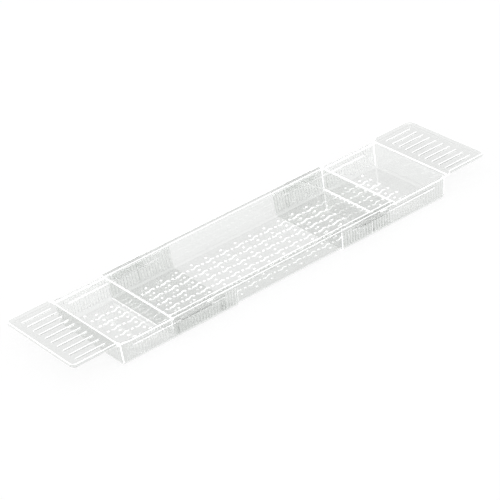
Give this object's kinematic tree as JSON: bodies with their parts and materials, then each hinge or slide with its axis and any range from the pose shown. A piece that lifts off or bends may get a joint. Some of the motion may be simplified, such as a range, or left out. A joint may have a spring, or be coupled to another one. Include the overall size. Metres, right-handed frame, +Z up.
{
  "type": "bath caddy",
  "caption": "Extendable clear plastic bath caddy: a perforated centre tray riding on two sliding end trays, each with a ribbed, dished ledge that rests on the edge of the bath.",
  "frame": {"origin": "middle of the whole caddy's box, on the underside of the end trays", "axes": "+X along the caddy from the left ledge to the right ledge, +Y across it, +Z up"},
  "size_m": [0.7624, 0.18, 0.0456],
  "materials": {
    "centre_tray": "clear polystyrene, faintly grey, glossy from the mould",
    "left_end_tray": "clear polystyrene, faintly grey, glossy, with fine upright ribs on the long walls",
    "right_end_tray": "clear polystyrene, faintly grey, glossy, with fine upright ribs on the long walls"
  },
  "bodies": {
    "centre_tray": {"centre_tray": "centre_tray"},
    "left_end_tray": {"left_end_tray": "left_end_tray"},
    "right_end_tray": {"right_end_tray": "right_end_tray"}
  },
  "joints": [
    {"name": "left_slide", "type": "slide", "parent": "centre_tray", "child": "left_end_tray", "axis": [-1, 0, 0], "range_m": [-0.083, 0.0262]},
    {"name": "right_slide", "type": "slide", "parent": "centre_tray", "child": "right_end_tray", "axis": [1, 0, 0], "range_m": [-0.1005, 0.0087]}
  ]
}
